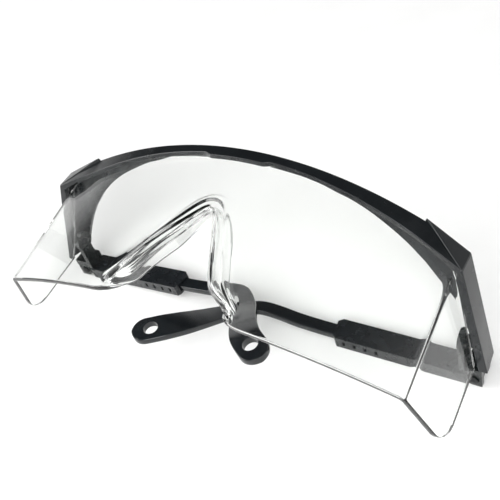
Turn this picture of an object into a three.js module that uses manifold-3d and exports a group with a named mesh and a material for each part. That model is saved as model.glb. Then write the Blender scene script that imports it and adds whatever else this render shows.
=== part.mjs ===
// Wraparound safety goggles with telescoping temples, folded, lens up, the right temple's outer face at z = 0.
// Millimetres. +X is the wearer's left-to-right width, +Y points to the brow, +Z points out of the lens.
import * as THREE from 'three';
import Module from 'manifold-3d';
import { mergeVertices } from 'three/addons/utils/BufferGeometryUtils.js';
import { ConvexGeometry } from 'three/addons/geometries/ConvexGeometry.js';

const wasm = await Module();
wasm.setup();

// ---- driving dimensions -------------------------------------------------------------------------
const GAP = 0.3; // clearance between pieces that touch
const CREASE_X = 66; // half width of the lens front, out to the sharp side fold
const LENS_T = 1.8;
const FLANGE_T = 1.4; // wall of the nose bridge
const LENS_CROWN = 14.2; // height of the lens front at its middle, y = 0
const LENS_LEAN = 0.177; // forward lean of the lens front per mm of height
const LENS_DIAMETER = 300; // the front is part of a cylinder of this diameter
const SHIELD = { depth: 22, spread: 7.2, rise: 3.2, corner: 6 }; // side shield, back from the fold
const BAND_T = 1.6; // wall of the brow band
const ARM_T = 2.5; // wall of the arms
const SHELF_T = 1.8;
const BAND_TOP_Y = 49;
const BAND_LOW_Y = 46.4;
const FOLD_TOP = new THREE.Vector3(68.9, 41.3, 8.6); // upper and lower end of the frame's corner fold
const FOLD_LOW = new THREE.Vector3(68.7, 34.5, 8.6);
const ARM_TOP = new THREE.Vector3(75.8, 36, -23.7); // rear end of the arm
const ARM_LOW = new THREE.Vector3(76.5, 27.7, -22.6);
const HINGE = new THREE.Vector3(71.9, 33.1, -29.5); // temple hinge pin
const TILT_PIVOT = new THREE.Vector3(68, 31.8, -15.5); // lens inclination pivot
const SLEEVE = { start: -3, length: 43.1, height: 7.6, below: 3.2, above: 1 };
const SLIDE = { height: 4.3, thickness: 2.2, mid: -1.1, start: -12.6, pushIn: 4 };
const LEFT_LIFT = THREE.MathUtils.degToRad(5); // the left temple is folded less and lies over the right one
const PIN_R = 0.75; // hinge pin
const TILT_PIN_R = 1.2;
const LUG = { radius: 2.5, levels: [[29.3, 31], [35.2, 36.8]] }; // the block's two hinge lugs
const RATCHET_R = 3.4;
const HOLE_R = 2.35; // lanyard hole in the ear end

// ---- materials ----------------------------------------------------------------------------------
const black = () => new THREE.MeshStandardMaterial({ color: 0x141719, roughness: 0.28, metalness: 0 });
const steel = () => new THREE.MeshStandardMaterial({ color: 0x505152, roughness: 0.35, metalness: 0.9 });
const clear = () => new THREE.MeshStandardMaterial({
  color: 0xeef1ef, roughness: 0.05, metalness: 0, transparent: true, opacity: 0.35,
});

// ---- solids and booleans ------------------------------------------------------------------------
const V = (x, y, z) => new THREE.Vector3(x, y, z);

function solid(geometry) {
  const bare = geometry.index ? geometry.toNonIndexed() : geometry.clone();
  for (const name of Object.keys(bare.attributes)) {
    if (name !== 'position') bare.deleteAttribute(name);
  }
  const merged = mergeVertices(bare, 1e-4);
  return new wasm.Manifold(new wasm.Mesh({
    numProp: 3,
    vertProperties: new Float32Array(merged.attributes.position.array),
    triVerts: new Uint32Array(merged.index.array),
  }));
}

function fromSolid(manifold) {
  const mesh = manifold.getMesh();
  const geometry = new THREE.BufferGeometry();
  geometry.setAttribute('position', new THREE.BufferAttribute(mesh.vertProperties, 3));
  geometry.setIndex(new THREE.BufferAttribute(mesh.triVerts, 1));
  geometry.computeVertexNormals();
  return geometry;
}

const unite = (...parts) => parts.map(solid).reduce((sum, part) => sum.add(part));
const cut = (body, ...tools) => tools.map(solid).reduce((rest, tool) => rest.subtract(tool), body);

// Cuts a body clear of a neighbour, leaving the touch gap along each axis.
function clearOf(body, neighbour) {
  let rest = body;
  for (const axis of ['x', 'y', 'z']) {
    for (const shift of [-GAP, GAP]) {
      const moved = neighbour.clone().translate(...V().setComponent('xyz'.indexOf(axis), shift).toArray());
      rest = cut(rest, moved);
    }
  }
  return rest;
}

function mirrorX(geometry) {
  const flipped = geometry.index ? geometry.toNonIndexed() : geometry.clone();
  flipped.scale(-1, 1, 1);
  const p = flipped.attributes.position;
  for (let i = 0; i < p.count; i += 3) {
    const second = V().fromBufferAttribute(p, i + 1);
    const third = V().fromBufferAttribute(p, i + 2);
    p.setXYZ(i + 1, third.x, third.y, third.z);
    p.setXYZ(i + 2, second.x, second.y, second.z);
  }
  return flipped;
}

// A closed body through rings of points; cap lists the triangles that close the first ring.
function loft(rings, cap) {
  const n = rings[0].length;
  const position = rings.flat().flatMap((p) => [p.x, p.y, p.z]);
  const index = [];
  for (let r = 0; r < rings.length - 1; r++) {
    for (let k = 0; k < n; k++) {
      const a = r * n + k;
      const b = r * n + (k + 1) % n;
      index.push(a, b, b + n, a, b + n, a + n);
    }
  }
  const last = (rings.length - 1) * n;
  for (const [a, b, c] of cap) {
    index.push(a, c, b, last + a, last + b, last + c);
  }
  const geometry = new THREE.BufferGeometry();
  geometry.setAttribute('position', new THREE.Float32BufferAttribute(position, 3));
  geometry.setIndex(index);
  return signedVolume(geometry) < 0 ? turnInsideOut(geometry) : geometry;
}

function signedVolume(geometry) {
  const p = geometry.attributes.position;
  const i = geometry.index;
  let sum = 0;
  for (let t = 0; t < i.count; t += 3) {
    const [a, b, c] = [0, 1, 2].map((k) => V().fromBufferAttribute(p, i.getX(t + k)));
    sum += a.dot(b.cross(c));
  }
  return sum / 6;
}

function turnInsideOut(geometry) {
  const i = geometry.index;
  for (let t = 0; t < i.count; t += 3) {
    const second = i.getX(t + 1);
    i.setX(t + 1, i.getX(t + 2));
    i.setX(t + 2, second);
  }
  return geometry;
}

const QUAD_CAP = [[0, 1, 2], [0, 2, 3]];
const ANGLE_CAP = [[0, 1, 4], [0, 4, 5], [1, 2, 3], [1, 3, 4]];

function box(low, high) {
  const size = V().subVectors(high, low);
  return new THREE.BoxGeometry(size.x, size.y, size.z).translate(
    (low.x + high.x) / 2, (low.y + high.y) / 2, (low.z + high.z) / 2,
  );
}

// Cylinders along the width and along the height.
const rodX = (r, x0, x1, y, z, sides = 24) => new THREE.CylinderGeometry(r, r, x1 - x0, sides)
  .rotateZ(Math.PI / 2).translate((x0 + x1) / 2, y, z);
const rodY = (r, y0, y1, x, z, sides = 24) => new THREE.CylinderGeometry(r, r, y1 - y0, sides)
  .translate(x, (y0 + y1) / 2, z);

// ---- shared surfaces ----------------------------------------------------------------------------
const lensZ = (x, y) => LENS_CROWN + LENS_LEAN * y - x * x / LENS_DIAMETER;
const bandTopY = (x) => BAND_TOP_Y - 0.00135 * x * x;
const lensTopY = (x) => bandTopY(x) - SHELF_T - GAP;
const lensLowY = (x) => -2.4 * (1 - (x / CREASE_X) ** 2);

// ---- lens: front, side shields and moulded nose bridge ------------------------------------------
function lensPanel() {
  const columns = [];
  const addColumn = (low, high, back) => {
    columns.push([low, high, high.clone().add(back), low.clone().add(back)]);
  };
  const foldHigh = V(CREASE_X, 37.4, lensZ(CREASE_X, 37.4));
  const foldLow = V(CREASE_X, 0, lensZ(CREASE_X, 0));
  for (const share of [1, 0.985, 0.93, 0.84, 0.73, 0.4]) {
    const back = share * SHIELD.depth;
    const intoCorner = Math.max(0, back - SHIELD.depth + SHIELD.corner);
    const round = SHIELD.corner - Math.sqrt(Math.max(0, SHIELD.corner ** 2 - intoCorner ** 2));
    const x = CREASE_X + share * SHIELD.spread;
    const low = V(x, share * SHIELD.rise + round, foldLow.z - back);
    const high = V(x, foldHigh.y - 9.6 * share, foldHigh.z - share * (SHIELD.depth + 5));
    addColumn(low, high, V(-LENS_T, 0, -0.5));
  }
  addColumn(foldLow, foldHigh, V(-LENS_T, 0, -LENS_T));
  const steps = 12;
  for (let i = steps - 1; i > -steps; i--) {
    const x = (CREASE_X - 2) * i / (steps - 1);
    const slope = V(-2 * x / LENS_DIAMETER, LENS_LEAN, -1).normalize().multiplyScalar(LENS_T);
    const high = Math.min(lensTopY(x), foldHigh.y + 1.4 * (CREASE_X - Math.abs(x)));
    addColumn(V(x, lensLowY(x), lensZ(x, lensLowY(x))), V(x, high, lensZ(x, high)), slope);
  }
  const flip = (p) => V(-p.x, p.y, p.z);
  for (const column of columns.slice(0, 7).reverse()) columns.push(column.map(flip));
  return loft(columns, QUAD_CAP);
}

// The nose arch: its front ridge and its rear rim are two Bezier arches.
const ridgeArch = new THREE.CubicBezierCurve3(V(18.4, -0.9, 0), V(12, 8, 0), V(4.5, 29.2, 0), V(0, 29.2, 0));
const rimArch = new THREE.CubicBezierCurve3(V(18, 1.5, 0), V(11.5, 13, 0), V(7, 33, 0), V(0, 33, 0));

function archPoint(curve, t, height) {
  const p = curve.getPoint(1 - Math.abs(t));
  const z = height(p.y);
  return V(t < 0 ? -p.x : p.x, p.y, z);
}

const ridgeZ = (y) => 18.6 + 0.12 * y - 5.6 * Math.exp(-(y + 0.9) / 3);
const rimZ = (y) => 9.3 + 0.26 * Math.max(0, y - 12) + 2.9 * Math.exp(-(y - 1.5) / 2.5);

function noseFlange() {
  const rings = [];
  const steps = 16;
  for (let i = -steps; i <= steps; i++) {
    const t = i / steps;
    const ridge = archPoint(ridgeArch, t, ridgeZ);
    const rim = archPoint(rimArch, t, rimZ);
    const along = archPoint(ridgeArch, Math.min(1, t + 0.02), ridgeZ)
      .sub(archPoint(ridgeArch, Math.max(-1, t - 0.02), ridgeZ));
    const inward = V(-along.y, along.x, 0).normalize().multiplyScalar(FLANGE_T);
    if (inward.dot(V(ridge.x, ridge.y - 10, 0)) > 0) inward.negate();
    rings.push([ridge, rim, rim.clone().add(inward), ridge.clone().add(inward)]);
  }
  return loft(rings, QUAD_CAP);
}

function noseOpening() {
  const outline = new THREE.Shape();
  outline.moveTo(-24, -6);
  outline.lineTo(-24, -2.3);
  outline.quadraticCurveTo(-20.4, -2.2, -18.9, 0.6);
  outline.bezierCurveTo(-12.6, 9, -5.4, 30.4, 0, 30.4);
  outline.bezierCurveTo(5.4, 30.4, 12.6, 9, 18.9, 0.6);
  outline.quadraticCurveTo(20.4, -2.2, 24, -2.3);
  outline.lineTo(24, -6);
  outline.closePath();
  return new THREE.ExtrudeGeometry(outline, { depth: 40, bevelEnabled: false, curveSegments: 14 });
}

function lens(frame) {
  let body = cut(solid(lensPanel()), noseOpening());
  body = body.add(solid(noseFlange()));
  return fromSolid(clearOf(body, frame));
}

// ---- brow frame: band, brow shelf, corner facets and arms ---------------------------------------
const bandLowY = (x) => BAND_LOW_Y - 0.0023 * x * x - (Math.abs(x) < 10 ? 0.9 : 0);
const armPoint = (top, t) => V().lerpVectors(top ? FOLD_TOP : FOLD_LOW, top ? ARM_TOP : ARM_LOW, t);

// The rear edge of the brow shelf: shallow over the middle, deep at the corner, ending on the arm.
const shelfRear = new THREE.CubicBezierCurve3(
  V(33, 47.4, 15.1), V(44, 45.6, 12), V(61, 42, 4), V(70.6, 36.8, -21),
);

function angleSection(outerLow, outerTop, rear, inward) {
  const down = V(0, -SHELF_T, 0);
  return [
    outerLow, outerTop, rear, rear.clone().add(down),
    outerTop.clone().add(inward).add(down), outerLow.clone().add(inward),
  ];
}

function frameShell() {
  const half = [];
  const proud = BAND_T + GAP;
  for (const x of [0, 5, 9.5, 12, 17, 22, 27, 33, 39, 45, 51, 56]) {
    const low = V(x, bandLowY(x), lensZ(x, bandLowY(x)) + proud);
    const top = V(x, bandTopY(x), lensZ(x, bandTopY(x)) + proud);
    const shelf = 1 + 2.8 * THREE.MathUtils.smoothstep(x, 18, 33);
    const rear = x <= 33 ? V(x, bandTopY(x) - 0.2, lensZ(x, bandTopY(x)) - shelf)
      : shelfRear.getPoint((x - 33) / 46);
    half.push(angleSection(low, top, rear, V(0, 0, -BAND_T)));
  }
  half.push(angleSection(
    V(62.5, 36.6, 10.9), V(62.5, 42.8, 11.6), shelfRear.getPoint(0.6), V(-0.4, 0, -BAND_T),
  ));
  half.push(angleSection(FOLD_LOW, FOLD_TOP, shelfRear.getPoint(0.72), V(-BAND_T, 0, -BAND_T)));
  for (const t of [0.15, 0.4, 0.7, 1]) {
    const rear = shelfRear.getPoint(0.72 + 0.28 * t);
    half.push(angleSection(armPoint(false, t), armPoint(true, t), rear, V(-ARM_T, 0, 0)));
  }
  const flip = (p) => V(-p.x, p.y, p.z);
  const mirrored = half.slice(1).reverse().map((ring) => ring.map(flip));
  return loft([...mirrored, ...half], ANGLE_CAP);
}

// The raised corner facet: its lower edge runs as a diagonal step from the band's top to the fold.
function cornerFacet() {
  const stepTop = V(56.2, 44.9, 13.8);
  const points = [stepTop, FOLD_TOP, FOLD_LOW];
  const back = points.map((p) => p.clone().add(V(-0.5, -0.2, -2.6)));
  return new ConvexGeometry([...points, ...back]);
}

// A boss inside the arm's wall carries the pin that the hinge block turns on.
function pivotBoss() {
  const { x, y, z } = TILT_PIVOT;
  const boss = rodX(1.8, x + 1.1, x + 5.2, y, z);
  const pin = rodX(TILT_PIN_R, x - 1.4, x + 4, y, z);
  return unite(boss, pin);
}

function browFrame() {
  let body = solid(frameShell());
  const boss = fromSolid(pivotBoss());
  for (const piece of [cornerFacet(), boss]) {
    body = body.add(solid(piece)).add(solid(mirrorX(piece)));
  }
  return fromSolid(body);
}

// ---- hinge block: the ratchet link between the arm and the temple -------------------------------
function hingeBlock() {
  const { x, y, z } = TILT_PIVOT;
  const inner = x - 1; // the toothed disc and its plate lie between these two planes
  const face = x + 0.8;
  const outer = HINGE.x + LUG.radius;
  const disc = rodX(RATCHET_R, inner, face, y, z, 32);
  const plate = box(V(inner, y - 2.8, -27), V(face, y + 1.8, z));
  const shoulder = box(V(inner, 29.2, -26.9), V(outer, 33, -24.7));
  const riser = box(V(outer - 3.4, 32.9, -26.9), V(outer, 36.4, -24.7));
  let body = unite(disc, plate, shoulder, riser);
  for (const [low, high] of LUG.levels) {
    const eye = rodY(LUG.radius, low, high, HINGE.x, HINGE.z);
    const web = box(V(HINGE.x - LUG.radius, low, HINGE.z), V(outer, high, -26));
    const corner = box(V(HINGE.x, low, HINGE.z - LUG.radius), V(outer, high, HINGE.z + 1));
    body = body.add(unite(eye, web, corner));
  }
  const tiltBore = rodX(TILT_PIN_R + 0.15, x - 3, x + 3, y, z);
  const hingeBore = rodY(PIN_R + 0.1, 26, 40, HINGE.x, HINGE.z);
  return fromSolid(cut(body, tiltBore, hingeBore));
}

function hingePin() {
  const profile = [
    [0, 28.6], [1.5, 28.6], [1.7, 29], [PIN_R, 29], [PIN_R, 36.9], [0, 36.9],
  ].map(([r, y]) => new THREE.Vector2(r, y));
  return new THREE.LatheGeometry(profile, 20).translate(HINGE.x, 0, HINGE.z);
}

// ---- temple, built about its hinge pin and running towards -X -----------------------------------
function sleeve() {
  const h = SLEEVE.height / 2;
  const side = new THREE.Shape();
  side.moveTo(SLEEVE.start, -h);
  side.lineTo(-SLEEVE.length + 0.8, -h);
  side.lineTo(-SLEEVE.length, -h + 0.8);
  side.lineTo(-SLEEVE.length - 0.8, h - 1.2);
  side.lineTo(-SLEEVE.length + 0.6, h);
  side.lineTo(SLEEVE.start, h);
  side.closePath();
  const thick = SLEEVE.below + SLEEVE.above;
  const shell = new THREE.ExtrudeGeometry(side, {
    depth: thick - 0.8, bevelThickness: 0.4, bevelSize: 0.4, bevelOffset: -0.4, bevelSegments: 1,
  }).translate(0, 0, -SLEEVE.below + 0.4);
  const knuckleLow = -1.8;
  const knuckleHigh = 1.8;
  const knuckle = rodY(2.4, knuckleLow, knuckleHigh, 0, 0);
  const neck = box(V(-5, knuckleLow, -2.4), V(0, knuckleHigh, 1));
  let body = unite(shell, knuckle, neck);
  const channel = box(
    V(-SLEEVE.length - 3, -SLIDE.height / 2 - 0.3, SLIDE.mid - SLIDE.thickness / 2 - 0.3),
    V(SLIDE.start + SLIDE.pushIn + 2, SLIDE.height / 2 + 0.3, SLIDE.mid + SLIDE.thickness / 2 + 0.3),
  );
  body = cut(body, channel, rodY(PIN_R + 0.1, -6, 6, 0, 0));
  for (let i = 0; i < 4; i++) {
    const x = -SLEEVE.length + 3 + 3.5 * i;
    body = cut(body, box(V(x, -h - 1, -1.9), V(x + 0.9, -1.8, -0.2)));
  }
  return fromSolid(body);
}

// Centre line of the slide and its ear bend, which bows towards the lens and flattens at the tip.
const EAR_PATH = [
  V(-48.6, 0, 0.1), V(-56.6, 0, 0.6), V(-63.6, 0, 1.7), V(-69.1, -1, 3.2), V(-73.4, -4.2, 5),
  V(-77.6, -9.2, 7.2), V(-81.4, -15.6, 10.6), V(-84.2, -19.8, 12.7), V(-88.2, -24.3, 14.5),
  V(-92, -27.1, 14.8), V(-96.9, -30.1, 14.8),
].map((p) => p.setZ(p.z + SLIDE.mid));
const EAR = { width: 9, widens: [0.35, 0.85], roundEnd: 4.5, hole: 0.905 };

// Width of the strip at share t of the path.
function earWidth(t, length) {
  const full = THREE.MathUtils.lerp(SLIDE.height, EAR.width, THREE.MathUtils.smoothstep(t, ...EAR.widens));
  const intoEnd = Math.max(0, 1 - (1 - t) * length / EAR.roundEnd);
  return full * Math.sqrt(Math.max(0.05, 1 - intoEnd ** 2));
}

function slide() {
  const path = new THREE.CatmullRomCurve3(EAR_PATH);
  const rings = [];
  const addRing = (p, along, width) => {
    const normal = V(0, 0, 1).addScaledVector(along, -along.z).normalize();
    const across = V().crossVectors(normal, along).multiplyScalar(width / 2);
    const lift = normal.multiplyScalar(SLIDE.thickness / 2);
    const corner = (a, b) => p.clone().addScaledVector(across, a).addScaledVector(lift, b);
    rings.push([corner(-1, -1), corner(1, -1), corner(1, 1), corner(-1, 1)]);
  };
  addRing(V(SLIDE.start, 0, SLIDE.mid), V(-1, 0, 0), SLIDE.height);
  const steps = 40;
  for (let i = 0; i <= steps; i++) {
    const t = 1 - (1 - i / steps) ** 1.3;
    addRing(path.getPointAt(t), path.getTangentAt(t), earWidth(t, path.getLength()));
  }
  const end = path.getTangentAt(EAR.hole);
  const hole = new THREE.CylinderGeometry(HOLE_R, HOLE_R, 12, 28);
  const normal = V(0, 0, 1).addScaledVector(end, -end.z).normalize();
  hole.applyQuaternion(new THREE.Quaternion().setFromUnitVectors(V(0, 1, 0), normal));
  const at = path.getPointAt(EAR.hole);
  hole.translate(at.x, at.y, at.z);
  return fromSolid(cut(solid(loft(rings, QUAD_CAP)), hole));
}

// ---- assembly -----------------------------------------------------------------------------------
const goggles = new THREE.Group();

function place(parent, name, geometry, material) {
  const mesh = new THREE.Mesh(geometry, material);
  mesh.name = name;
  parent.add(mesh);
  return mesh;
}

const frame = browFrame();
place(goggles, 'lens', lens(frame), clear());
place(goggles, 'brow_frame', frame, black());
for (const side of [1, -1]) {
  const label = side > 0 ? 'right' : 'left';
  const forSide = (geometry) => (side > 0 ? geometry : mirrorX(geometry));
  place(goggles, `hinge_block_${label}`, forSide(hingeBlock()), black());
  place(goggles, `hinge_pin_${label}`, forSide(hingePin()), steel());
  const temple = new THREE.Group();
  temple.position.set(side * HINGE.x, HINGE.y, HINGE.z);
  temple.rotation.y = side > 0 ? 0 : -LEFT_LIFT;
  place(temple, `temple_sleeve_${label}`, forSide(sleeve()), black());
  place(temple, `temple_slide_${label}`, forSide(slide()), black());
  goggles.add(temple);
}

// Stand the goggles on the plane z = 0 with the middle of their footprint at the origin.
goggles.updateMatrixWorld(true);
const extent = new THREE.Box3().setFromObject(goggles, true);
goggles.position.set(
  -(extent.min.x + extent.max.x) / 2, -(extent.min.y + extent.max.y) / 2, -extent.min.z,
);

export default goggles;
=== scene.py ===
"""Clear wraparound safety goggles with a black brow frame and folded telescoping temples.

Shapes are written in millimetres in the wearer's frame (x across the face, y towards the brow,
z out of the lens) and placed in the row frame by to_row().
"""

import math

import bmesh
import bpy
from mathutils import Matrix, Vector, geometry


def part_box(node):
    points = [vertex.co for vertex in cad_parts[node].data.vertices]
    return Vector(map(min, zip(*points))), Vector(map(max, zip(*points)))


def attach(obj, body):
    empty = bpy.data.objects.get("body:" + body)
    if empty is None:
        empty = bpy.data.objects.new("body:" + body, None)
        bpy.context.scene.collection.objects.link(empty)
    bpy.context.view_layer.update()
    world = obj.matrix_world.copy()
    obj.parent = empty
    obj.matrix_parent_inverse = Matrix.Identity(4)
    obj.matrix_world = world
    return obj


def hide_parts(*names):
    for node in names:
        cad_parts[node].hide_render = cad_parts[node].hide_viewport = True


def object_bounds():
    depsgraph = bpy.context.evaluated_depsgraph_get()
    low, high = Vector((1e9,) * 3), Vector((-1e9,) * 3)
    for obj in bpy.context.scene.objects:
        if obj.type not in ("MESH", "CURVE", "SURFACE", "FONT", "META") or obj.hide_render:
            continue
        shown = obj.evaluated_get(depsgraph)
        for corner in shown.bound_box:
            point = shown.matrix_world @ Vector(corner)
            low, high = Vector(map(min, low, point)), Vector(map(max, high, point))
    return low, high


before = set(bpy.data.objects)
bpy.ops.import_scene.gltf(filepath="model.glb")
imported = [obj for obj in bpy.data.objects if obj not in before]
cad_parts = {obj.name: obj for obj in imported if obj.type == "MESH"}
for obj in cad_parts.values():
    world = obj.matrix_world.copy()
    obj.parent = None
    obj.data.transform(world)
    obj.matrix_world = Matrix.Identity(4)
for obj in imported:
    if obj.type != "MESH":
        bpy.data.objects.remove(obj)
cad_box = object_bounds()

# ---- frame and driving dimensions ------------------------------------------------------------------
MM = 0.001
PIN_CENTRE = Vector((71.9, 32.75, -29.5))  # middle of the right hinge pin, wearer's frame
pin_low, pin_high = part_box("hinge_pin_right")
ORIGIN = (pin_low + pin_high) / 2 - PIN_CENTRE * MM

HINGE = Vector((71.9, 33.1, -29.5))  # pivot of the right temple
TILT_PIVOT = Vector((68, 31.8, -15.5))
TILT_PIN_R = 1.2
TILT_HOLE_R = 1.35
BOSS_R = 1.8
RATCHET_R = 3.4  # over the teeth
RATCHET_ROOT_R = 3.15  # between them
RATCHET_TEETH = 28
LUG_R = 2.5
LUG_LEVELS = ((29.3, 31), (35.2, 36.8))  # from low to high, along the hinge pin
PIN_HOLE_R = 0.85
LEFT_LIFT = math.radians(5)  # the left temple lies over the right one

CREASE_X = 66
LENS_T = 1.8
FOLD_HIGH_Y = 37.4
SHIELD_DEPTH = 22
SHIELD_CORNER = 6
SHIELD_SPREAD = 7.2

BAND_T = 1.6
BAND_PROUD = 1.9  # band face in front of the lens face
SHELF_T = 1.8
FOLD_TOP = Vector((68.9, 41.3, 8.6))
FOLD_LOW = Vector((68.7, 34.5, 8.6))
ARM_TOP = Vector((75.8, 36, -23.7))
ARM_LOW = Vector((76.5, 27.7, -22.6))
ARM_T = 2.5

SLEEVE_START = -3
SLEEVE_LENGTH = 43.1
SLEEVE_HEIGHT = 7.6
SLEEVE_LEVELS = (-3.2, 1.0)  # outer and inner face
SLOT_GAP = 0.25  # clearance around the slide
NOTCH_COUNT = 4
NOTCH_PITCH = 3.5
NOTCH_WIDTH = 0.9
SLIDE_MID = -1.1
SLIDE_T = 2.2
SLIDE_HEIGHT = 4.3
SLIDE_STRAIGHT = (-12.6, -30, -43)  # sections of the part before the ear bend
LANYARD_R = 2.35


def to_row(p):
    return ORIGIN + Vector(p) * MM


def lerp(a, b, t):
    return a + (b - a) * t


def smoothstep(x, low, high):
    t = min(1.0, max(0.0, (x - low) / (high - low)))
    return t * t * (3 - 2 * t)


def bezier(a, b, c, d, t):
    return a * (1 - t) ** 3 + b * 3 * t * (1 - t) ** 2 + c * 3 * t * t * (1 - t) + d * t**3


def spline(points, steps):
    """Catmull-Rom curve through the points, steps samples per span."""
    points = [Vector(p) for p in points]
    padded = [2 * points[0] - points[1], *points, 2 * points[-1] - points[-2]]
    out = []
    for i in range(1, len(padded) - 2):
        a, b, c, d = padded[i - 1 : i + 3]
        for k in range(steps):
            t = k / steps
            out.append(0.5 * (2 * b + (c - a) * t + (2 * a - 5 * b + 4 * c - d) * t**2
                              + (3 * b - a - 3 * c + d) * t**3))
    return [*out, points[-1]]


def along(points, distances):
    """Points at the given distances along a polyline."""
    out, i, run = [], 0, 0.0
    for s in distances:
        while i < len(points) - 2 and run + (points[i + 1] - points[i]).length < s:
            run += (points[i + 1] - points[i]).length
            i += 1
        step = (points[i + 1] - points[i]).length
        out.append(points[i].lerp(points[i + 1], min(1.0, (s - run) / step)))
    return out


def length_of(points):
    return sum((b - a).length for a, b in zip(points, points[1:]))


# ---- materials ---------------------------------------------------------------------------------------
def new_material(name):
    material = bpy.data.materials.new(name)
    material.use_nodes = True
    tree = material.node_tree
    tree.nodes.clear()
    output = tree.nodes.new("ShaderNodeOutputMaterial")
    shader = tree.nodes.new("ShaderNodeBsdfPrincipled")
    tree.links.new(shader.outputs[0], output.inputs[0])
    return material, tree, shader


def noise(tree, scale, detail=2.0, stretch=(1, 1, 1)):
    """Object-space noise; scale is in cycles per metre."""
    place = tree.nodes.new("ShaderNodeTexCoord")
    mapping = tree.nodes.new("ShaderNodeMapping")
    mapping.inputs["Scale"].default_value = stretch
    texture = tree.nodes.new("ShaderNodeTexNoise")
    texture.inputs["Scale"].default_value = scale
    texture.inputs["Detail"].default_value = detail
    tree.links.new(place.outputs["Object"], mapping.inputs[0])
    tree.links.new(mapping.outputs[0], texture.inputs["Vector"])
    return texture.outputs["Fac"]


def ramp(tree, factor, low, high, start=0.3, end=0.7):
    node = tree.nodes.new("ShaderNodeValToRGB")
    node.color_ramp.elements[0].position = start
    node.color_ramp.elements[0].color = (*low, 1)
    node.color_ramp.elements[1].position = end
    node.color_ramp.elements[1].color = (*high, 1)
    tree.links.new(factor, node.inputs[0])
    return node.outputs[0]


def spread(tree, factor, low, high):
    node = tree.nodes.new("ShaderNodeMapRange")
    node.inputs["From Min"].default_value = 0.3
    node.inputs["From Max"].default_value = 0.7
    node.inputs["To Min"].default_value = low
    node.inputs["To Max"].default_value = high
    tree.links.new(factor, node.inputs[0])
    return node.outputs[0]


def bump(tree, shader, height, strength, distance):
    node = tree.nodes.new("ShaderNodeBump")
    node.inputs["Strength"].default_value = strength
    node.inputs["Distance"].default_value = distance
    tree.links.new(height, node.inputs["Height"])
    tree.links.new(node.outputs[0], shader.inputs["Normal"])


def moulded_black(name, shade, gloss):
    """Glossy black nylon: faint flow marks in the colour, uneven gloss and a very fine skin."""
    material, tree, shader = new_material(name)
    low = tuple(c * 0.8 for c in shade)
    high = tuple(c * 1.25 for c in shade)
    tree.links.new(ramp(tree, noise(tree, 90), low, high), shader.inputs["Base Color"])
    tree.links.new(spread(tree, noise(tree, 260, 4), gloss[0], gloss[1]), shader.inputs["Roughness"])
    shader.inputs["IOR"].default_value = 1.53
    bump(tree, shader, noise(tree, 2600, 1), 0.12, 0.00002)
    return material


def polycarbonate(name):
    """Clear lens plastic that lets lamp light through to what is behind it."""
    material, tree, shader = new_material(name)
    shader.inputs["Base Color"].default_value = (0.975, 0.985, 0.975, 1)
    shader.inputs["Transmission Weight"].default_value = 1
    shader.inputs["IOR"].default_value = 1.5
    tree.links.new(spread(tree, noise(tree, 120, 3), 0.0, 0.03), shader.inputs["Roughness"])
    bump(tree, shader, noise(tree, 70, 1), 0.05, 0.0001)
    clear = tree.nodes.new("ShaderNodeBsdfTransparent")
    clear.inputs[0].default_value = (0.9, 0.91, 0.9, 1)
    mix = tree.nodes.new("ShaderNodeMixShader")
    rays = tree.nodes.new("ShaderNodeLightPath")
    output = tree.nodes["Material Output"]
    tree.links.new(rays.outputs["Is Shadow Ray"], mix.inputs[0])
    tree.links.new(shader.outputs[0], mix.inputs[1])
    tree.links.new(clear.outputs[0], mix.inputs[2])
    tree.links.new(mix.outputs[0], output.inputs[0])
    return material


def blackened_steel(name):
    material, tree, shader = new_material(name)
    tree.links.new(ramp(tree, noise(tree, 400), (0.03, 0.031, 0.032), (0.06, 0.061, 0.062)),
                   shader.inputs["Base Color"])
    shader.inputs["Metallic"].default_value = 1
    tree.links.new(spread(tree, noise(tree, 900, 3), 0.25, 0.45), shader.inputs["Roughness"])
    bump(tree, shader, noise(tree, 3000, 1, (1, 6, 1)), 0.2, 0.00002)
    return material


FRAME_BLACK = moulded_black("moulded_frame", (0.007, 0.0085, 0.0097), (0.16, 0.3))
BLOCK_BLACK = moulded_black("moulded_block", (0.006, 0.008, 0.008), (0.2, 0.34))
TEMPLE_BLACK = moulded_black("moulded_temple", (0.006, 0.0075, 0.009), (0.2, 0.34))
SLIDE_BLACK = moulded_black("moulded_slide", (0.006, 0.0075, 0.009), (0.08, 0.18))
LENS_CLEAR = polycarbonate("clear_polycarbonate")
PIN_STEEL = blackened_steel("blackened_steel")


# ---- mesh helpers ------------------------------------------------------------------------------------
def mesh_object(name, points, faces, material, mirrored=False, lift=False):
    """A smooth-shaded mesh from wearer-frame points, mirrored for the left side."""
    placed = []
    for p in points:
        q = Vector(p)
        if mirrored:
            q.x = -q.x
        if lift:
            pivot = Vector((-HINGE.x, HINGE.y, HINGE.z))
            q = Matrix.Rotation(-LEFT_LIFT, 3, "Y") @ (q - pivot) + pivot
        placed.append(to_row(q))
    mesh = bpy.data.meshes.new(name)
    mesh.from_pydata(placed, [], faces)
    work = bmesh.new()
    work.from_mesh(mesh)
    bmesh.ops.remove_doubles(work, verts=work.verts, dist=1e-6)
    bmesh.ops.dissolve_degenerate(work, edges=work.edges, dist=1e-7)
    bmesh.ops.recalc_face_normals(work, faces=work.faces)
    for face in work.faces:
        face.smooth = True
    work.to_mesh(mesh)
    work.free()
    mesh.materials.append(material)
    obj = bpy.data.objects.new(name, mesh)
    bpy.context.scene.collection.objects.link(obj)
    return obj


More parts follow.
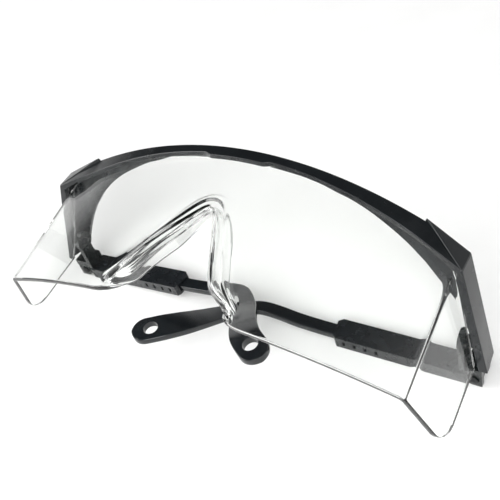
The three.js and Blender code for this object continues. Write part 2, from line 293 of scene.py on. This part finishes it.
def loft(rings, closed=True):
    """Points and faces of a closed body through equal rings."""
    n = len(rings[0])
    points = [p for ring in rings for p in ring]
    faces = []
    for r in range(len(rings) - 1):
        for k in range(n):
            a, b = r * n + k, r * n + (k + 1) % n
            faces.append((a, b, b + n, a + n))
    if closed:
        last = (len(rings) - 1) * n
        faces.append(tuple(range(n))[::-1])
        faces.append(tuple(range(last, last + n)))
    return points, faces


def prism(outline, low, high, axis):
    """Rings of a straight body: a 2-D outline carried along an axis (0, 1 or 2) from low to high."""
    others = [i for i in range(3) if i != axis]
    rings = []
    for level in (low, high):
        ring = []
        for u, v in outline:
            p = [0.0, 0.0, 0.0]
            p[axis], p[others[0]], p[others[1]] = level, u, v
            ring.append(Vector(p))
        rings.append(ring)
    return loft(rings)


def circle(u, v, r, count=32, start=0.0):
    return [(u + r * math.cos(start + math.tau * i / count), v + r * math.sin(start + math.tau * i / count))
            for i in range(count)]


def box_outline(u0, v0, u1, v1):
    return [(u0, v0), (u1, v0), (u1, v1), (u0, v1)]


def bevel(obj, width, segments=3, angle=30):
    modifier = obj.modifiers.new("edge_radius", "BEVEL")
    modifier.width = width * MM
    modifier.segments = segments
    modifier.limit_method = "ANGLE"
    modifier.angle_limit = math.radians(angle)
    modifier.harden_normals = True
    return obj


def settle(obj):
    """Applies the modifiers."""
    graph = bpy.context.evaluated_depsgraph_get()
    mesh = bpy.data.meshes.new_from_object(obj.evaluated_get(graph))
    obj.modifiers.clear()
    obj.data = mesh
    return obj


def boolean(obj, others, operation):
    for other in others:
        modifier = obj.modifiers.new(operation, "BOOLEAN")
        modifier.operation = operation
        modifier.solver = "EXACT"
        modifier.object = other
    bpy.context.view_layer.update()
    settle(obj)
    for other in others:
        bpy.data.objects.remove(other)
    for polygon in obj.data.polygons:
        polygon.use_smooth = True
    return obj


def finish_piece(obj, body, slot, *nodes):
    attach(obj, body)
    if nodes:
        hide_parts(*nodes)
    return obj


SIDES = [("right", False), ("left", True)]


# ---- lens --------------------------------------------------------------------------------------------
def lens_z(x, y):
    return 14.2 + 0.177 * y - x * x / 300


def band_top_y(x):
    return 49 - 0.00135 * x * x


def lens_top_y(x):
    return min(band_top_y(x) - SHELF_T - 0.3, FOLD_HIGH_Y + 1.4 * (CREASE_X - x))


def edge_path():
    """Half of the lens's lower edge: nose arch, rounded corner, then the bottom out to the crease."""
    arch = geometry.interpolate_bezier(
        Vector((0, 29.2, 0)), Vector((4.5, 29.2, 0)), Vector((11, 9.2, 0)), Vector((15.7, 2.6, 0)), 60)
    corner = geometry.interpolate_bezier(
        Vector((15.7, 2.6, 0)), Vector((18.1, -0.8, 0)), Vector((20.6, -2.15, 0)), Vector((25, -2.06, 0)), 24)
    bottom = [Vector((x, -2.4 * (1 - (x / CREASE_X) ** 2), 0)) for x in range(26, CREASE_X + 1, 2)]
    return [*arch, *corner[1:], *bottom]


ARCH_LENGTH = 34.0  # from the top of the nose arch to its lower corner
NOSE_REACH = 7.4  # width of the moulded section along the nose leg
PANEL_REACH = 2.4  # its width along the plain lower edge
CORNER_SWEEP = (25, 45)  # distances along the edge between which the one changes to the other
RIPPLE_HEIGHT = 0.13  # lengthwise ripples of the nose leg
RIPPLE_COUNT = 6
EDGE_RADIUS = 0.4  # rounding of the lens's cut edges
BEND_HALF = 1.5  # the side fold's bend reaches this far each way
BEND_STEPS = 10
SECTION_COUNT = 48  # columns of the nose section; the panel adds PANEL_COUNT more
PANEL_COUNT = 14


def nose_section(s, reach):
    """The sheet's outer face at distance s along the edge, as (offset, wall) out to the panel.

    An offset is (u, w): u across the edge towards the panel, w forward out of the lens.
    """
    fade = 1 - smoothstep(s, ARCH_LENGTH - 7, ARCH_LENGTH + 4)
    height = lerp(1.3, 4.1, smoothstep(s, 0, 24))
    depth = 7.4 + 2.8 * math.sin(math.pi / 2 * min(1, s / 14))
    flare = lerp(3.8, 2.4, min(1, s / 13))
    roll = [(reach, 0, 0), (0.75 * reach, 0.06 * height, 0), (0.55 * reach, 0.25 * height, 0),
            (0.36 * reach, 0.62 * height, 0), (0.17 * reach, 0.91 * height, 0), (-0.1, height, 0),
            (-1.1, 0.86 * height, 0), (-1.5, 0.55 * height, 0)]
    rim = Vector((flare - 1.3, height - depth, 0))
    knee = Vector((-1.42, 0.2 * height, 0)).lerp(rim, 0.12)
    shape = spline([rim, rim.lerp(knee, 0.5), knee, *reversed(roll)], 8)
    total = length_of(shape)
    formed = along(shape, [total * i / (SECTION_COUNT - 1) for i in range(SECTION_COUNT)])
    section = []
    for i, point in enumerate(formed):
        share = i / (SECTION_COUNT - 1)
        flat = Vector((share and lerp(0.6, reach, share), 0, 0))
        ripple = RIPPLE_HEIGHT * math.sin(math.tau * RIPPLE_COUNT * share) * smoothstep(share, 0.2, 0.35)
        point = point + Vector((0, ripple * (1 - smoothstep(share, 0.75, 0.95)), 0))
        wall = lerp(lerp(1.35, 1.1, smoothstep(share, 0.2, 0.5)), LENS_T, smoothstep(share, 0.6, 0.95))
        section.append((flat.lerp(point, fade), lerp(LENS_T, wall, fade)))
    return section


def edge_stations(total):
    leg = [i * ARCH_LENGTH / 44 for i in range(44)]
    corner = [ARCH_LENGTH + i * 0.5 for i in range(14)]
    bottom = [lerp(corner[-1], total - BEND_HALF, (i + 1) / 18) for i in range(18)]
    return [*leg, *corner, *bottom]


def edge_frame(path, total, s):
    """A point on the lower edge, the edge's direction there, and the direction across it to the panel."""
    here, ahead, behind = (along(path, [d])[0] for d in (s, min(total, s + 0.6), max(0, s - 0.6)))
    tangent = (ahead - behind).normalized()
    if s in (0, total):
        tangent = Vector((1, 0, 0))
    return here, tangent, Vector((-tangent.y, tangent.x, 0))


def section_end(path, total, s):
    """Where the moulded section runs out into the plain panel; it sweeps wide round the nose corner."""
    begin, finish = CORNER_SWEEP
    if s <= begin or s >= finish:
        here, _, out = edge_frame(path, total, s)
        return here + out * (NOSE_REACH if s <= begin else PANEL_REACH)
    _, tangent, _ = edge_frame(path, total, begin)
    a = section_end(path, total, begin)
    b = a + tangent * 4.2
    _, tangent, _ = edge_frame(path, total, finish)
    d = section_end(path, total, finish)
    c = d - tangent * 4.6
    t = (s - begin) / (finish - begin)
    return bezier(a, b, c, d, t)


def panel_row(path, total, s):
    """The lens's outer face from its lower edge at distance s up to the band."""
    here, _, _ = edge_frame(path, total, s)
    near = section_end(path, total, s)
    across = near - here
    out = across.normalized()
    row = []
    for offset, wall in nose_section(s, across.length):
        p = here + out * offset.x
        row.append((Vector((p.x, p.y, lens_z(p.x, p.y) + offset.y)), wall))
    share = s / total
    far_x = CREASE_X * (0.75 * share + 0.25 * share**2)
    far = Vector((far_x, lens_top_y(far_x), 0))
    for k in range(1, PANEL_COUNT + 1):
        p = near.lerp(far, k / PANEL_COUNT)
        row.append((Vector((p.x, p.y, lens_z(p.x, p.y))), LENS_T))
    return row


def shield_row(crease, back):
    """The side shield's outer face at a distance behind the crease."""
    share = back / SHIELD_DEPTH
    into = max(0, back - SHIELD_DEPTH + SHIELD_CORNER)
    lift = SHIELD_CORNER - math.sqrt(max(0, SHIELD_CORNER**2 - into**2))
    low = Vector((CREASE_X + share * SHIELD_SPREAD, 3.2 * share + lift, lens_z(CREASE_X, 0) - back))
    high = Vector((low.x, FOLD_HIGH_Y - 9.6 * share,
                   lens_z(CREASE_X, FOLD_HIGH_Y) - share * (SHIELD_DEPTH + 5)))
    return [(low.lerp(high, p.y / FOLD_HIGH_Y), wall) for p, wall in crease]


def lens_half():
    """Rows of (outer point, wall) of the right half, from the nose arch to the shield's rear edge."""
    path = edge_path()
    total = length_of(path)
    rows = [panel_row(path, total, s) for s in edge_stations(total)]
    crease = panel_row(path, total, total)
    first, last = rows[-1], shield_row(crease, BEND_HALF)
    for i in range(1, BEND_STEPS):
        t = i / BEND_STEPS
        rows.append([(a * (1 - t) ** 2 + b * 2 * t * (1 - t) + c * t * t, wall)
                     for (a, wall), (b, _), (c, _) in zip(first, crease, last)])
    straight = SHIELD_DEPTH - SHIELD_CORNER
    backs = [lerp(BEND_HALF, straight, k / 10) for k in range(11)]
    backs += [straight + SHIELD_CORNER * math.sin(math.radians(10 * k)) for k in range(1, 10)]
    return [*rows, *(shield_row(crease, back) for back in backs)]


def grid_normals(grid):
    """Unit normal at each grid point, with the mitre that keeps the wall's thickness at a fold."""
    rows, columns = len(grid), len(grid[0])
    quads = [[(grid[r + 1][k] - grid[r][k + 1]).cross(grid[r + 1][k + 1] - grid[r][k]).normalized()
              for k in range(columns - 1)] for r in range(rows - 1)]
    out = []
    for r in range(rows):
        line = []
        for k in range(columns):
            near = [quads[i][j] for i in (r - 1, r) for j in (k - 1, k)
                    if 0 <= i < rows - 1 and 0 <= j < columns - 1]
            normal = sum(near, Vector()).normalized()
            line.append(normal / max(0.75, min(normal.dot(q) for q in near)))
        out.append(line)
    return out


def round_end(outer, inner, ahead):
    """Points around a cut edge from the outer face to the inner one; ahead points out of the edge."""
    normal = (outer - inner).normalized()
    r = EDGE_RADIUS
    arc = []
    for corner, up, over in ((outer, normal, ahead), (inner, ahead, -normal)):
        inside = corner - ahead * r + (-normal if corner is outer else normal) * r
        for a in (0, 30, 60, 90):
            arc.append(inside + (up * math.cos(math.radians(a)) + over * math.sin(math.radians(a))) * r)
    return arc


def sheet_solid(rows):
    """A closed wall with rounded edges from rows of (outer point, thickness)."""
    grid = [[p for p, _ in row] for row in rows]
    normals = grid_normals(grid)
    facing = 1 if sum((n.z for line in normals for n in line)) > 0 else -1
    rings = []
    for row, line in zip(rows, normals):
        outer = [p for p, _ in row]
        inner = [p - n * (wall * facing) for (p, wall), n in zip(row, line)]
        first = round_end(outer[0], inner[0], (outer[0] - outer[1]).normalized())
        last = round_end(outer[-1], inner[-1], (outer[-1] - outer[-2]).normalized())
        rings.append([*outer[1:-1], *last, *reversed(inner[1:-1]), *reversed(first)])
    count = len(rings[0])
    across = [(count - 9 - i) % count for i in range(count)]  # the point facing each one on the other face
    for end, before in ((0, 8), (-1, -9)):
        away = (rings[end][count // 4] - rings[before][count // 4]).normalized()
        caps = []
        for angle in (math.radians(a) for a in (30, 60, 90)):
            out, aside = EDGE_RADIUS * math.sin(angle), EDGE_RADIUS * (1 - math.cos(angle))
            caps.append([p + away * out + (rings[end][across[i]] - p).normalized() * aside
                         for i, p in enumerate(rings[end])])
        rings = [*reversed(caps), *rings] if end == 0 else [*rings, *caps]
    points, faces = loft(rings, closed=False)
    for start in (0, (len(rings) - 1) * count):
        for i in range(count):
            face = [i, (i + 1) % count, across[(i + 1) % count], across[i]]
            if len(set(face)) > 2 and min(face) in (i, (i + 1) % count):
                faces.append(tuple(start + v for v in dict.fromkeys(face)))
    return points, faces


def build_lens():
    rows = lens_half()
    left = [[(Vector((-p.x, p.y, p.z)), wall) for p, wall in row] for row in rows]
    points, faces = sheet_solid([*reversed(left[1:]), *rows])
    obj = mesh_object("lens_shell", points, faces, LENS_CLEAR)
    return finish_piece(obj, "root", "clear_lens", "lens")


# ---- brow frame --------------------------------------------------------------------------------------
def band_low_y(x):
    tab = 1 - smoothstep(x, 8.6, 11.4)
    return 46.4 - 0.0023 * x * x - 0.9 * tab


SHELF_REAR = [Vector(p) for p in ((33, 47.4, 15.1), (44, 45.6, 12), (61, 42, 4), (70.6, 36.8, -21))]


def shelf_rear(t):
    return bezier(*SHELF_REAR, t)


def angle_section(low, top, rear, inward):
    down = Vector((0, -SHELF_T, 0))
    return [low, top, rear, rear + down, top + inward + down, low + inward]


def brow_half():
    rings = []
    xs = [0, 2, 4, 6, 8, 8.8, 9.6, 10.4, 11.2, 12, 14] + list(range(16, 57, 2))
    for x in xs:
        low = Vector((x, band_low_y(x), lens_z(x, band_low_y(x)) + BAND_PROUD))
        top = Vector((x, band_top_y(x), lens_z(x, band_top_y(x)) + BAND_PROUD))
        shelf = 1 + 2.8 * smoothstep(x, 18, 33)
        if x <= 33:
            rear = Vector((x, band_top_y(x) - 0.2, lens_z(x, band_top_y(x)) - shelf))
        else:
            rear = shelf_rear((x - 33) / 46)
        rings.append(angle_section(low, top, rear, Vector((0, 0, -BAND_T))))
    rings.append(angle_section(
        Vector((62.5, 36.6, 10.9)), Vector((62.5, 42.8, 11.6)), shelf_rear(0.6), Vector((-0.4, 0, -BAND_T))))
    rings.append(angle_section(FOLD_LOW, FOLD_TOP, shelf_rear(0.72), Vector((-BAND_T, 0, -BAND_T))))
    for t in (0.1, 0.25, 0.4, 0.55, 0.7, 0.85, 1):
        wall = Vector((-ARM_T, 0, 0))
        rings.append(angle_section(FOLD_LOW.lerp(ARM_LOW, t), FOLD_TOP.lerp(ARM_TOP, t),
                                   shelf_rear(0.72 + 0.28 * t), wall))
    return rings


def build_brow():
    half = brow_half()
    left = [[Vector((-p.x, p.y, p.z)) for p in ring] for ring in half[1:]]
    points, faces = loft([*reversed(left), *half])
    shell = mesh_object("brow_shell", points, faces, FRAME_BLACK)
    bevel(shell, 0.3, 3, 24)
    finish_piece(shell, "root", "black_frame", "brow_frame")
    for side, mirrored in SIDES:
        build_facet(side, mirrored)
        build_tilt_boss(side, mirrored)


def build_facet(side, mirrored):
    """Raised triangular corner facet with a step at its inner end."""
    step = Vector((56.2, 45, 14.55))
    outline = [step, FOLD_TOP + Vector((0, 0, 0.1)), FOLD_LOW + Vector((0, 0, 0.1))]
    normal = (outline[1] - outline[0]).cross(outline[2] - outline[0]).normalized()
    if normal.z < 0:
        normal.negate()
    base = [p - normal * 2.4 for p in outline]
    points, faces = loft([base, outline])
    facet = mesh_object(f"brow_facet_{side}", points, faces, FRAME_BLACK, mirrored)
    bevel(facet, 0.28, 3, 24)
    finish_piece(facet, "root", "black_frame")


def build_tilt_boss(side, mirrored):
    """Boss on the arm's inner face with the pivot that the ratchet block turns on."""
    x, y, z = TILT_PIVOT
    points, faces = prism(circle(y, z, BOSS_R), x + 1.1, 73.0, 0)
    boss = mesh_object(f"tilt_boss_{side}", points, faces, FRAME_BLACK, mirrored)
    finish_piece(bevel(boss, 0.2), "root", "black_frame")
    points, faces = prism(circle(y, z, TILT_PIN_R), x - 1.35, x + 2, 0)
    pivot = mesh_object(f"tilt_pivot_{side}", points, faces, FRAME_BLACK, mirrored)
    finish_piece(bevel(pivot, 0.25), "root", "black_frame")


# ---- hinge blocks and pins ---------------------------------------------------------------------------
def build_block(side, mirrored):
    x, y, z = TILT_PIVOT
    ring = []
    for i in range(RATCHET_TEETH * 2):
        a = math.tau * i / (RATCHET_TEETH * 2)
        r = RATCHET_R if i % 2 else RATCHET_ROOT_R
        ring.append((y + r * math.cos(a), z + r * math.sin(a)))
    outer = HINGE.x + LUG_R
    parts = [
        prism(ring, x - 1, x + 0.8, 0),
        prism(box_outline(y - 2.8, -27, y + 1.8, z), x - 0.98, x + 0.78, 0),
        prism(box_outline(29.2, -26.9, 33, -24.7), x - 1, outer, 0),
        prism(box_outline(32.9, -26.88, 36.4, -24.72), outer - 3.4, outer - 0.02, 0),
    ]
    for y0, y1 in LUG_LEVELS:
        parts.append(prism(circle(HINGE.x, HINGE.z, LUG_R), y0, y1, 1))
        parts.append(prism(box_outline(HINGE.x, HINGE.z - LUG_R, outer, HINGE.z + 1), y0, y1, 1))
        parts.append(prism(box_outline(HINGE.x - LUG_R, HINGE.z, outer, -26), y0 + 0.01, y1 - 0.01, 1))
    objects = [mesh_object("block_part", *part, BLOCK_BLACK, mirrored) for part in parts]
    block = boolean(objects[0], objects[1:], "UNION")
    holes = [
        mesh_object("hole", *prism(circle(y, z, TILT_HOLE_R), x - 3, x + 3, 0), BLOCK_BLACK, mirrored),
        mesh_object("hole", *prism(circle(HINGE.x, HINGE.z, PIN_HOLE_R), 26, 40, 1), BLOCK_BLACK, mirrored),
    ]
    boolean(block, holes, "DIFFERENCE")
    block.name = f"ratchet_block_{side}"
    bevel(block, 0.22, 2, 35)
    finish_piece(block, f"block_{side}", "black_block", f"hinge_block_{side}")


def build_pin(side, mirrored):
    profile = [(0.02, 28.62), (1.1, 28.66), (1.5, 28.8), (1.68, 28.98), (1.5, 29), (0.75, 29.02),
               (0.75, 36.4), (0.6, 36.8), (0.02, 36.88)]
    rings = [[Vector((HINGE.x + r * math.cos(a), h, HINGE.z + r * math.sin(a)))
              for a in (math.tau * i / 28 for i in range(28))] for r, h in profile]
    points, faces = loft(rings)
    pin = mesh_object(f"pin_{side}", points, faces, PIN_STEEL, mirrored)
    finish_piece(pin, f"block_{side}", "steel_pin", f"hinge_pin_{side}")


# ---- temples -----------------------------------------------------------------------------------------
def temple_points(points, shift=HINGE):
    return [Vector(p) + shift for p in points]


def build_sleeve(side, mirrored):
    h = SLEEVE_HEIGHT / 2
    end = SLEEVE_LENGTH
    outline = [(SLEEVE_START, -h), (-end + 0.8, -h), (-end, -h + 0.8),
               (-end - 0.8, h - 1.2), (-end + 0.6, h), (SLEEVE_START, h)]
    shell = [[Vector((u, v, z)) for u, v in outline] for z in SLEEVE_LEVELS]

    def part(data):
        points, faces = data
        return mesh_object("sleeve_part", temple_points(points), faces, TEMPLE_BLACK, mirrored, mirrored)

    body = part(loft(shell))
    extra = [
        part(prism(circle(0, 0, 2.4), -1.8, 1.8, 1)),
        part(prism(box_outline(-5, -2.4, 0, 1), -1.79, 1.79, 1)),
    ]
    boolean(body, extra, "UNION")
    slot_half = SLIDE_HEIGHT / 2 + SLOT_GAP
    cutters = [
        part(prism(box_outline(-slot_half, SLIDE_MID - SLIDE_T / 2 - SLOT_GAP, slot_half,
                               SLIDE_MID + SLIDE_T / 2 + SLOT_GAP), -end - 3, -8, 0)),
        part(prism(circle(0, 0, PIN_HOLE_R), -6, 6, 1)),
    ]
    for i in range(NOTCH_COUNT):
        x = -end + 3 + NOTCH_PITCH * i
        cutters.append(part(prism(box_outline(x, -1.9, x + NOTCH_WIDTH, -0.2), -h - 1, -1.8, 1)))
    boolean(body, cutters, "DIFFERENCE")
    body.name = f"sleeve_{side}"
    bevel(body, 0.45, 3, 35)
    finish_piece(body, f"sleeve_{side}", "black_temple", f"temple_sleeve_{side}")


EAR_PATH = [
    (-48.6, 0, 0.1), (-56.6, 0, 0.6), (-63.6, 0, 1.7), (-69.1, -1, 3.2), (-73.4, -4.2, 5), (-77.6, -9.2, 7.2),
    (-81.4, -15.6, 10.6), (-84.2, -19.8, 12.7), (-88.2, -24.3, 14.5), (-92, -27.1, 14.8),
    (-96.9, -30.1, 14.8),
]
EAR_WIDTH = 9.0
EAR_ROUND = 4.5  # length of the rounded end
EAR_STEPS = 84
HOLE_SHARE = 0.905  # the lanyard hole's place along the path


def strip_ring(centre, tangent, width):
    """Rounded-rectangle section of the slide."""
    normal = (Vector((0, 0, 1)) - tangent * tangent.z).normalized()
    across = normal.cross(tangent)
    half_w, half_t = width / 2, SLIDE_T / 2
    r = min(0.35, half_w * 0.5)
    ring = []
    for cx, cy, start in ((1, 1, 0), (-1, 1, 90), (-1, -1, 180), (1, -1, 270)):
        for k in range(4):
            a = math.radians(start + 30 * k)
            u = cx * (half_w - r) + r * math.cos(a)
            v = cy * (half_t - r) + r * math.sin(a)
            ring.append(centre + across * u + normal * v)
    return ring


def build_slide(side, mirrored):
    path = [p + Vector((0, 0, SLIDE_MID)) for p in spline(EAR_PATH, 12)]
    total = length_of(path)
    rings = [strip_ring(Vector((x, 0, SLIDE_MID)), Vector((-1, 0, 0)), SLIDE_HEIGHT)
             for x in SLIDE_STRAIGHT]
    shares = [1 - (1 - i / EAR_STEPS) ** 1.25 for i in range(EAR_STEPS + 1)]
    for share in shares:
        s = share * total
        here, ahead, behind = (along(path, [d])[0] for d in (s, min(total, s + 0.5), max(0, s - 0.5)))
        width = lerp(SLIDE_HEIGHT, EAR_WIDTH, smoothstep(share, 0.35, 0.85))
        into = max(0, 1 - (1 - share) * total / EAR_ROUND)
        width *= math.sqrt(max(0.02, 1 - into**2))
        rings.append(strip_ring(here, (ahead - behind).normalized(), width))
    points, faces = loft(rings)
    obj = mesh_object(f"slide_{side}", temple_points(points), faces, SLIDE_BLACK, mirrored, mirrored)
    at = along(path, [HOLE_SHARE * total])[0]
    tangent = (along(path, [HOLE_SHARE * total + 1])[0] - at).normalized()
    normal = (Vector((0, 0, 1)) - tangent * tangent.z).normalized()
    across = normal.cross(tangent)
    rings = []
    for level in (-6, 6):
        rings.append([at + normal * level + tangent * (LANYARD_R * math.cos(a))
                      + across * (LANYARD_R * math.sin(a))
                      for a in (math.tau * i / 40 for i in range(40))])
    points, faces = loft(rings)
    hole = mesh_object("hole", temple_points(points), faces, SLIDE_BLACK, mirrored, mirrored)
    boolean(obj, [hole], "DIFFERENCE")
    bevel(obj, 0.3, 3, 50)
    finish_piece(obj, f"slide_{side}", "black_slide", f"temple_slide_{side}")


build_lens()
build_brow()
for side, mirrored in SIDES:
    build_block(side, mirrored)
    build_pin(side, mirrored)
    build_sleeve(side, mirrored)
    build_slide(side, mirrored)


# ---- stage, light and camera -------------------------------------------------------------------------
FLOOR_HALF = 3  # metres
FLOOR_GAP = 0.0002  # metres below the goggles


def build_floor():
    mesh = bpy.data.meshes.new("floor")
    corners = box_outline(-FLOOR_HALF, -FLOOR_HALF, FLOOR_HALF, FLOOR_HALF)
    mesh.from_pydata([(x, y, 0) for x, y in corners], [], [(0, 1, 2, 3)])
    material, tree, shader = new_material("white_card")
    tree.links.new(ramp(tree, noise(tree, 40), (0.9, 0.9, 0.895), (0.92, 0.92, 0.915)),
                   shader.inputs["Base Color"])
    shader.inputs["Roughness"].default_value = 0.9
    shader.inputs["Specular IOR Level"].default_value = 0.1
    mesh.materials.append(material)
    floor = bpy.data.objects.new("floor", mesh)
    floor.location.z = cad_box[0].z - FLOOR_GAP
    bpy.context.scene.collection.objects.link(floor)


def area_light(name, location, target, size, power):
    light = bpy.data.lights.new(name, "AREA")
    light.shape = "DISK"
    light.size = size
    light.energy = power
    obj = bpy.data.objects.new(name, light)
    obj.location = location
    obj.rotation_mode = "QUATERNION"
    obj.rotation_quaternion = (Vector(target) - Vector(location)).to_track_quat("-Z", "Y")
    bpy.context.scene.collection.objects.link(obj)


def build_world():
    """A white room with a soft dark patch of ceiling, which the lens and the flat blacks reflect."""
    world = bpy.data.worlds.new("studio")
    world.use_nodes = True
    tree = world.node_tree
    place = tree.nodes.new("ShaderNodeTexCoord")
    narrow, unit, facing = (tree.nodes.new("ShaderNodeVectorMath") for _ in range(3))
    narrow.operation, unit.operation, facing.operation = "MULTIPLY", "NORMALIZE", "DOT_PRODUCT"
    narrow.inputs[1].default_value = (0.6, 1, 1)
    facing.inputs[1].default_value = Vector((-0.36, 0.39, 0.84)).normalized()
    shade = tree.nodes.new("ShaderNodeMapRange")
    shade.interpolation_type = "SMOOTHSTEP"
    shade.inputs["From Min"].default_value = math.cos(math.radians(50))
    shade.inputs["From Max"].default_value = math.cos(math.radians(27))
    shade.inputs["To Min"].default_value = 1.0
    shade.inputs["To Max"].default_value = 0.05
    tree.links.new(place.outputs["Generated"], narrow.inputs[0])
    tree.links.new(narrow.outputs[0], unit.inputs[0])
    tree.links.new(unit.outputs[0], facing.inputs[0])
    tree.links.new(facing.outputs["Value"], shade.inputs["Value"])
    tree.links.new(shade.outputs[0], tree.nodes["Background"].inputs["Strength"])
    tree.nodes["Background"].inputs["Color"].default_value = (1, 1, 1, 1)
    bpy.context.scene.world = world


def build_light():
    build_world()
    area_light("left", (-0.9, -0.5, 0.6), (0, 0, 0), 0.8, 7)
    area_light("front", (0.3, -0.8, 0.85), (0, 0, 0), 0.8, 9)


CAMERA_TARGET = Vector((11.34, 26.14, 8.53))  # wearer's frame
CAMERA_DISTANCE = 210
CAMERA_TURN = 131.93  # degrees from x to the way it faces, seen from above
CAMERA_DOWN = 43.34  # degrees below level
CAMERA_ROLL = -18.62


def build_camera():
    turn, dip, roll = (math.radians(a) for a in (CAMERA_TURN, CAMERA_DOWN, CAMERA_ROLL))
    ahead = Vector((math.cos(turn) * math.cos(dip), math.sin(turn) * math.cos(dip), -math.sin(dip)))
    level = ahead.cross(Vector((0, 0, 1))).normalized()
    right = level * math.cos(roll) + level.cross(ahead) * math.sin(roll)
    camera = bpy.data.cameras.new("camera")
    camera.lens = 54.1
    camera.sensor_width = 36
    camera.clip_start = 0.01
    obj = bpy.data.objects.new("camera", camera)
    place = Matrix((right, right.cross(ahead), -ahead)).transposed().to_4x4()
    place.translation = to_row(CAMERA_TARGET - ahead * CAMERA_DISTANCE)
    obj.matrix_world = place
    bpy.context.scene.collection.objects.link(obj)
    bpy.context.scene.camera = obj


build_floor()
build_light()
build_camera()
bpy.context.scene.view_settings.view_transform = "Standard"
